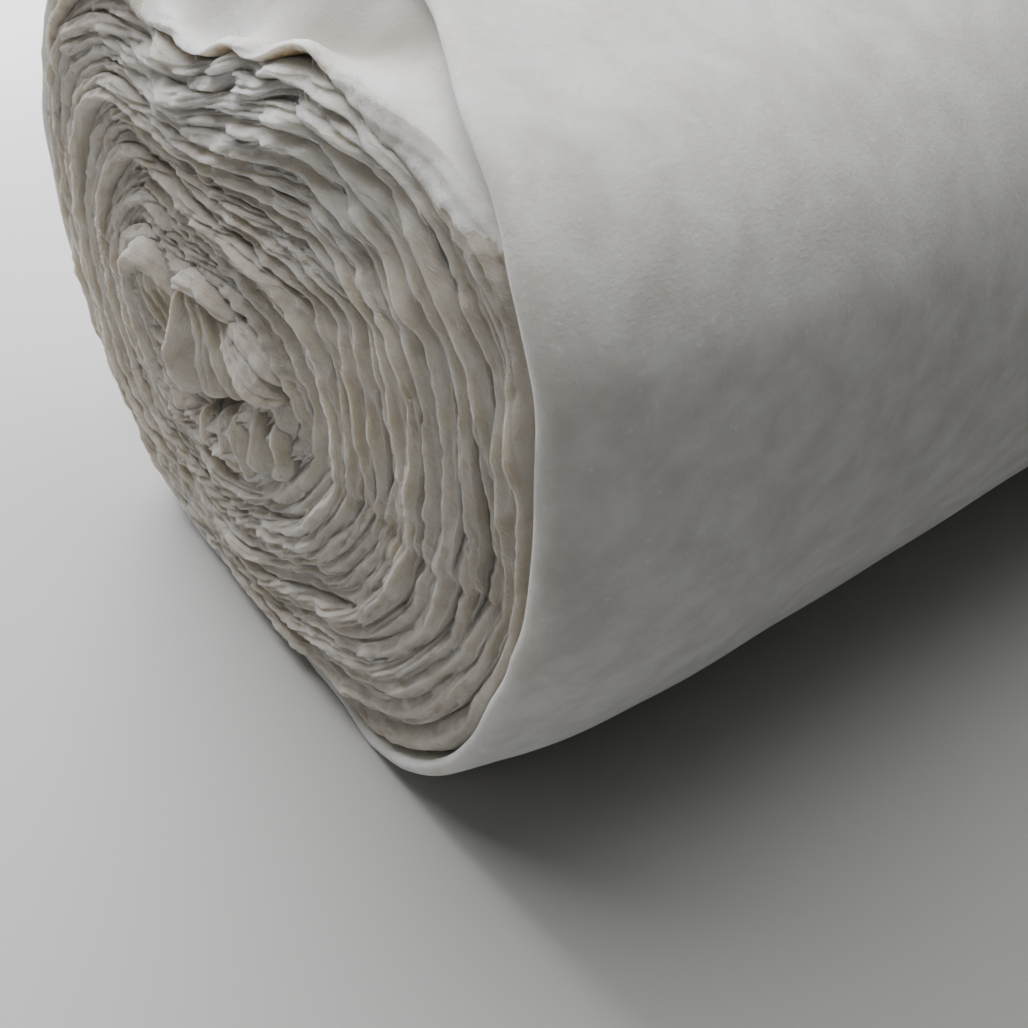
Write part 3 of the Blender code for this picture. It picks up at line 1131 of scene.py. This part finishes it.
def skin_material(sizes):
    """Carded polyester fibre whose face was bonded with heat: the outside of the sheet.

    It gives a smooth matt off-white with faint clouds, a felted grain of crossing fibres, and painted
    shade on the drooping turn's outside behind its lip.
    """
    material, tree = new_material("wadding_skin")
    spot = add(tree, "ShaderNodeTexCoord").outputs["Object"]
    clouds = fibre_clouds(tree, spot, 42.0, sizes.skin_light, sizes.skin_shade)
    # Bright flecks 2 mm across, where a knot of fibre lies in the face.
    knots = add(tree, "ShaderNodeTexNoise",
                {"Scale": 240.0, "Detail": 2.0, "Roughness": 0.6}, {"Vector": spot})
    share = add(tree, "ShaderNodeMapRange", {"From Min": 0.64, "From Max": 0.78, "To Max": 0.7},
                {"Value": knots.outputs["Fac"]})
    flecked = add(tree, "ShaderNodeMix", {"data_type": "RGBA", 7: linear("#FBFAF8")},
                  {0: share.outputs["Result"], 6: clouds})
    # Painted shade: the skin turns grey where the drooping turn's outside lies in the hollow behind its
    # lip.
    thin = add(tree, "ShaderNodeAttribute", {"attribute_name": "painted_shade"}).outputs["Fac"]
    shaded = add(tree, "ShaderNodeMix", {"data_type": "RGBA", 7: linear("#9F978B")},
                 {0: thin, 6: flecked.outputs[2]})
    colour = shaded.outputs[2]
    # Fibres cross at about a millimetre, far coarser than their 0.03 mm so that they show.
    felt = add(tree, "ShaderNodeTexNoise",
               {"Scale": 480.0, "Detail": 5.0, "Roughness": 0.7}, {"Vector": spot})
    wadding_shader(tree, colour, felt.outputs["Fac"], sizes.fibre_height)
    return material


def edge_material(sizes):
    """The same fibre where the sheet was cut: open webs that run along the edge.

    It gives cloudy colour that is darker and warmer than the skin's, which is painted shade over the
    open end, a painted highlight where the edge is tufted, streaks a millimetre wide along each edge,
    and fluff.
    """
    material, tree = new_material("wadding_edge")
    spot = add(tree, "ShaderNodeTexCoord").outputs["Object"]
    unrolled = add(tree, "ShaderNodeUVMap", {"uv_map": "unrolled"}).outputs["UV"]
    # Streaks 25 mm long and 1 mm wide.
    stretched = add(tree, "ShaderNodeMapping", {"Scale": (40.0, 900.0, 1.0)}, {"Vector": unrolled})
    streaks = add(tree, "ShaderNodeTexNoise", {"Scale": 1.0, "Detail": 4.0, "Roughness": 0.6},
                  {"Vector": stretched.outputs["Vector"]})
    clouds = fibre_clouds(tree, spot, 45.0, sizes.edge_light, sizes.edge_shade)
    # Painted highlight: where the edge is tufted it is whitened, most of all over the top band, which
    # the light catches.
    tufts = add(tree, "ShaderNodeAttribute", {"attribute_name": "tufts"}).outputs["Fac"]
    painted_highlight = add(tree, "ShaderNodeMix",
                   {"data_type": "RGBA", 7: linear("#F3EFE7")}, {0: tufts, 6: clouds})
    colour = painted_highlight.outputs[2]
    felt = add(tree, "ShaderNodeTexNoise",
               {"Scale": 420.0, "Detail": 5.0, "Roughness": 0.7}, {"Vector": spot})
    height = add(tree, "ShaderNodeMath", {"operation": "MULTIPLY_ADD", 1: 0.8},
                 {0: streaks.outputs["Fac"], 2: felt.outputs["Fac"]})
    wadding_shader(tree, colour, height.outputs[0], 1.6 * sizes.fibre_height)
    return material


def fibre_material(sizes):
    """Single polyester fibres off the cut edge, 0.12 to 0.22 mm thick so that they show.

    It gives the edges a soft pale fuzz.
    """
    material, tree = new_material("wadding_fibre")
    shader = add(tree, "ShaderNodeBsdfPrincipled",
                 # The fibres take the edge's light colour, and with it its painted shade.
                 {"Base Color": linear(sizes.edge_light), "Roughness": 0.7, "Specular IOR Level": 0.3})
    add(tree, "ShaderNodeOutputMaterial", None, {"Surface": shader.outputs["BSDF"]})
    return material


def painted_material(name, colour, roughness):
    """A matt painted studio floor: one even pale coat."""
    material = bpy.data.materials.new(name)
    material.use_nodes = True
    tree = material.node_tree
    shader = tree.nodes["Principled BSDF"]
    shader.inputs["Base Color"].default_value = linear(colour)
    shader.inputs["Roughness"].default_value = roughness
    return material


class WaddingSizes(bpy.types.PropertyGroup):
    """Sizes and colours of the roll that a user would change."""

    crumple: bpy.props.FloatProperty(
        name="Crumple", description="How strongly the turns waver at the open end",
        default=1.0, min=0.0, max=2.0, subtype="FACTOR")
    fibre_height: bpy.props.FloatProperty(
        name="Fibre height", description="Depth of the felted grain",
        default=0.0009, min=0.0, unit="LENGTH")
    skin_light: bpy.props.StringProperty(
        name="Skin light", description="Colour of the outside where the fibre is thick, as sRGB hex",
        default="#F0EFEC")
    skin_shade: bpy.props.StringProperty(
        name="Skin shade", description="Colour of the outside where the fibre is thin, as sRGB hex",
        default="#DCDAD4")
    # The step between the two edge colours is the fibre's own cloudiness. That both are darker and
    # warmer than the skin's colours is painted shade over the open end.
    edge_light: bpy.props.StringProperty(
        name="Edge light", description="Colour of the cut edges where the fibre is thick, as sRGB hex",
        default="#DDD7CC")
    edge_shade: bpy.props.StringProperty(
        name="Edge shade", description="Colour of the cut edges where the fibre is thin, as sRGB hex",
        default="#C6BDAD")
    floor_colour: bpy.props.StringProperty(
        name="Floor colour", description="Colour of the studio floor, as sRGB hex", default="#C4C4C1")


def wadding(kind):
    """The skin, edge or fibre material, made once and then shared."""
    makers = {
        "wadding_skin": skin_material,
        "wadding_edge": edge_material,
        "wadding_fibre": fibre_material,
    }
    return bpy.data.materials.get(kind) or makers[kind](bpy.context.scene.wadding_sizes)


class WADDING_OT_outer_turn(bpy.types.Operator):
    """Makes the last turn: the smooth outside with its two soft rims and the sheet's outer end"""

    bl_idname = "wadding.outer_turn"
    bl_label = "Outer Turn"

    def execute(self, context):
        """The rings are closed round the roll, and the backing closes both ends."""
        piece = closed_piece("outer_turn", [outer_turn_rings()], wadding("wadding_skin"))
        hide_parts("wadding_roll")
        return {"FINISHED"}


class WADDING_OT_open_end(bpy.types.Operator):
    """Makes the turns' edges at the open end, the drooping last turn but one first"""

    bl_idname = "wadding.open_end"
    bl_label = "Open End Turns"

    def execute(self, context):
        """Each band follows the winding inwards from where the one before it stops."""
        for name, band in open_bands(context.scene.wadding_sizes.crumple):
            piece = closed_piece(name, [band], wadding("wadding_edge"))
            if name == "drooping_turn":
                clad_outside(piece, band)
            else:
                paint_tuft_highlight(piece, band)
        return {"FINISHED"}


class WADDING_OT_core(bpy.types.Operator):
    """Makes the crumpled folds of the sheet's inner end, in the middle of the open end"""

    bl_idname = "wadding.core"
    bl_label = "Crumpled Core"

    def execute(self, context):
        """One closed band for each fold number of the table."""
        closed_piece("crumpled_core", core_folds(), wadding("wadding_edge"))
        return {"FINISHED"}


class WADDING_OT_fibres(bpy.types.Operator):
    """Makes the loose fibres that stand off the cut edges at the open end"""

    bl_idname = "wadding.fibres"
    bl_label = "Loose Fibres"

    def execute(self, context):
        """All fibres are one piece."""
        points, faces = loose_fibres(FIBRES)
        dressed(mesh_object("loose_fibres", points + ORIGIN, faces.tolist(), wadding("wadding_fibre")))
        return {"FINISHED"}


class WADDING_OT_far_end(bpy.types.Operator):
    """Makes the turns' edges at the far end, which are wound more evenly"""

    bl_idname = "wadding.far_end"
    bl_label = "Far End Turns"

    def execute(self, context):
        """The turns lie evenly between the rim and the middle and waver a little."""
        strength = context.scene.wadding_sizes.crumple
        for name, first, last, step in FAR_BANDS:
            band = wound_band(1, first, last, step, BAND_DEPTH, 400, 0.7 * strength, FAR_STEPS)
            closed_piece(name, [band], wadding("wadding_edge"))
        return {"FINISHED"}


class WADDING_OT_stage(bpy.types.Operator):
    """Makes the pale floor, the soft lights and the camera"""

    bl_idname = "wadding.stage"
    bl_label = "Stage"

    def execute(self, context):
        """The camera stands above the near side of the open end and looks down along the roll."""
        make_floor(context.scene.wadding_sizes.floor_colour)
        make_lights()
        make_camera()
        return {"FINISHED"}


def make_floor(colour):
    """A flat square of the studio floor under the roll."""
    half = 8.0
    mesh = bpy.data.meshes.new("floor")
    corners = [(-half, -half, 0), (half, -half, 0), (half, half, 0), (-half, half, 0)]
    mesh.from_pydata(corners, [], [(0, 1, 2, 3)])
    mesh.materials.append(painted_material("painted_floor", colour, 0.8))
    floor = bpy.data.objects.new("floor", mesh)
    bpy.context.scene.collection.objects.link(floor)


def make_lights():
    """A soft light overhead, a wide strong one on the far side, a dim one in front, and an even
    pale sky.
    """
    lights = (
        ("overhead", (-0.67, -0.05, 1.08), (-0.58, 0.0, 0.2), 0.85, 11.0, (1.0, 1.0, 1.0)),
        ("far_side", (-0.55, 1.75, 0.95), (-0.7, 0.1, 0.25), 1.1, 84.0, (0.95, 0.94, 1.0)),
        ("front", (-2.6, -0.2, 1.4), (-0.7, 0.0, 0.2), 1.8, 0.9, (1.0, 1.0, 1.0)),
    )
    for name, place, target, size, power, colour in lights:
        light = bpy.data.lights.new(name, "AREA")
        light.shape = "SQUARE"
        light.size = size
        light.energy = power
        light.color = colour
        holder = bpy.data.objects.new(name, light)
        holder.location = place
        holder.visible_camera = False
        aim = np.array(target) - np.array(place)
        flat = math.hypot(aim[0], aim[1])
        holder.rotation_euler = (math.atan2(flat, -aim[2]), 0.0, math.atan2(-aim[0], aim[1]))
        bpy.context.scene.collection.objects.link(holder)
    world = bpy.data.worlds.new("pale_sky")
    world.use_nodes = True
    world.node_tree.nodes["Background"].inputs["Color"].default_value = (1.0, 1.0, 1.0, 1.0)
    world.node_tree.nodes["Background"].inputs["Strength"].default_value = 0.06
    bpy.context.scene.world = world


def make_camera():
    """The camera at the open end's near side, turned 35 degrees from the roll's cross direction."""
    camera = bpy.data.cameras.new("camera")
    camera.sensor_width = 36.0
    camera.lens = 43.46
    holder = bpy.data.objects.new("camera", camera)
    holder.location = ORIGIN + np.array([-0.2037, -0.5437, 0.2795])
    holder.rotation_euler = (math.radians(90.0 - 37.0), 0.0, math.radians(-35.1))
    bpy.context.scene.collection.objects.link(holder)
    bpy.context.scene.camera = holder


class WADDING_PT_panel(bpy.types.Panel):
    """Lists the roll's settings and pieces in the 3D view's sidebar"""

    bl_label = "Wadding Roll"
    bl_idname = "WADDING_PT_panel"
    bl_space_type = "VIEW_3D"
    bl_region_type = "UI"
    bl_category = "Wadding"

    def draw(self, context):
        """Settings first, then one button for each operator."""
        for name in WaddingSizes.__annotations__:
            self.layout.prop(context.scene.wadding_sizes, name)
        for operator in OPERATORS:
            self.layout.operator(operator.bl_idname)


OPERATORS = (
    WADDING_OT_outer_turn,
    WADDING_OT_open_end,
    WADDING_OT_core,
    WADDING_OT_fibres,
    WADDING_OT_far_end,
    WADDING_OT_stage,
)
CLASSES = (WaddingSizes, *OPERATORS, WADDING_PT_panel)


def register():
    """Registers the classes and puts the settings on the scene."""
    for each in CLASSES:
        bpy.utils.register_class(each)
    bpy.types.Scene.wadding_sizes = bpy.props.PointerProperty(type=WaddingSizes)


def unregister():
    """Takes the settings and the classes away again."""
    del bpy.types.Scene.wadding_sizes
    for each in reversed(CLASSES):
        bpy.utils.unregister_class(each)


def main():
    """Builds every piece and the stage in order."""
    register()
    bpy.ops.wadding.outer_turn()
    bpy.ops.wadding.open_end()
    bpy.ops.wadding.core()
    bpy.ops.wadding.fibres()
    bpy.ops.wadding.far_end()
    bpy.ops.wadding.stage()


if __name__ == "__main__":
    main()
